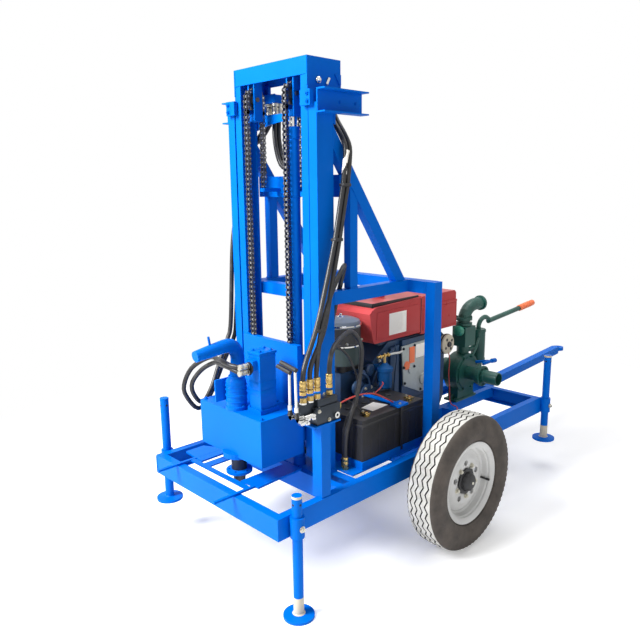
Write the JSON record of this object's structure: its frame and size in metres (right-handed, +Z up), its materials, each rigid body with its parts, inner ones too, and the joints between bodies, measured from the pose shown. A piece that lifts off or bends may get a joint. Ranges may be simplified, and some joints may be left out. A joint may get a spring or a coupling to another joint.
{
  "type": "water well drilling rig",
  "caption": "Towed water well drilling rig with a chain-lifted sliding mast, rotary head and water swivel, horizontal diesel engine, water pump, battery, drawbar and adjustable pipe legs.",
  "frame": {"origin": "on the ground, in the middle of the rig's length and width", "axes": "+X towards the drawbar, the drilling end is at -X, +Y is the side away from the valves and battery, +Z up"},
  "size_m": [2.875, 1.193, 1.891],
  "materials": {
    "blue_paint": "gloss",
    "red_paint": "gloss",
    "green_paint": "satin",
    "silver_paint": "satin",
    "chrome": "polished",
    "dark_steel": "satin",
    "chain_steel": "satin",
    "valve_iron": "satin",
    "black_cast": "satin",
    "engine_alloy": "satin",
    "battery_plastic": "satin",
    "black_plastic": "satin",
    "orange_plastic": "satin",
    "hose": "satin",
    "tyre": "matte"
  },
  "bodies": {
    "root": {"base_frame": "blue_paint", "deck_plate": "blue_paint", "work_table": "blue_paint", "drawbar": "blue_paint", "axle_beam": "blue_paint", "mast": "blue_paint", "upper_frame": "blue_paint", "brace_frame": "blue_paint", "lift_barrel": "blue_paint", "valve_stand": "blue_paint", "valve_block": "valve_iron", "valve_levers": "chrome", "battery_tray": "blue_paint", "battery": "battery_plastic", "engine_block": "engine_alloy", "fuel_tank": "red_paint", "water_hopper": "red_paint", "air_cleaner": "black_plastic", "flywheel": "black_cast", "pump_casing": "green_paint", "primer_lever": "green_paint", "lever_grip": "orange_plastic", "near_rear_chain": "chain_steel", "far_rear_chain": "chain_steel", "feed_hose": "hose"},
    "inner_mast": {"inner_mast": "blue_paint", "lift_rod": "chrome", "near_sprocket": "chain_steel", "far_sprocket": "chain_steel", "near_front_chain": "chain_steel", "far_front_chain": "chain_steel", "cross_hose": "hose", "head_hose": "hose"},
    "head": {"carriage": "blue_paint", "gearbox": "blue_paint", "rotary_motor": "blue_paint", "water_swivel": "blue_paint"},
    "spindle": {"drill_spindle": "dark_steel"},
    "near_wheel": {"near_tyre": "tyre", "near_rim": "silver_paint", "near_hub": "black_cast"},
    "far_wheel": {"far_tyre": "tyre", "far_rim": "silver_paint", "far_hub": "black_cast"},
    "near_front_leg": {"near_front_leg": "blue_paint"},
    "far_front_leg": {"far_front_leg": "blue_paint"},
    "near_rear_leg": {"near_rear_leg": "blue_paint"},
    "far_rear_leg": {"far_rear_leg": "blue_paint"}
  },
  "joints": [
    {"name": "mast_lift", "type": "slide", "parent": "root", "child": "inner_mast", "axis": [0, 0, 1], "range_m": [0, 0.78], "deforming": ["near_rear_chain", "far_rear_chain", "feed_hose"]},
    {"name": "head_feed", "type": "slide", "parent": "inner_mast", "child": "head", "axis": [0, 0, 1], "range_m": [0, 0.78], "deforming": ["near_front_chain", "far_front_chain", "head_hose"]},
    {"name": "spindle_turn", "type": "hinge", "parent": "head", "child": "spindle", "pos_m": [-1.2165, 0, 0.4], "axis": [0, 0, 1], "continuous": true},
    {"name": "near_wheel_turn", "type": "hinge", "parent": "root", "child": "near_wheel", "pos_m": [-0.4965, -0.524, 0.28], "axis": [0, 1, 0], "continuous": true},
    {"name": "far_wheel_turn", "type": "hinge", "parent": "root", "child": "far_wheel", "pos_m": [-0.4965, 0.524, 0.28], "axis": [0, 1, 0], "continuous": true},
    {"name": "near_front_leg_slide", "type": "slide", "parent": "root", "child": "near_front_leg", "axis": [0, 0, 1], "range_m": [0, 0.2]},
    {"name": "far_front_leg_slide", "type": "slide", "parent": "root", "child": "far_front_leg", "axis": [0, 0, 1], "range_m": [-0.15, 0.05]},
    {"name": "near_rear_leg_slide", "type": "slide", "parent": "root", "child": "near_rear_leg", "axis": [0, 0, 1], "range_m": [-0.15, 0.05]},
    {"name": "far_rear_leg_slide", "type": "slide", "parent": "root", "child": "far_rear_leg", "axis": [0, 0, 1], "range_m": [0, 0.2]}
  ],
  "couplings": [
    {"joint": "head_feed", "follows": "mast_lift", "ratio": 1}
  ]
}
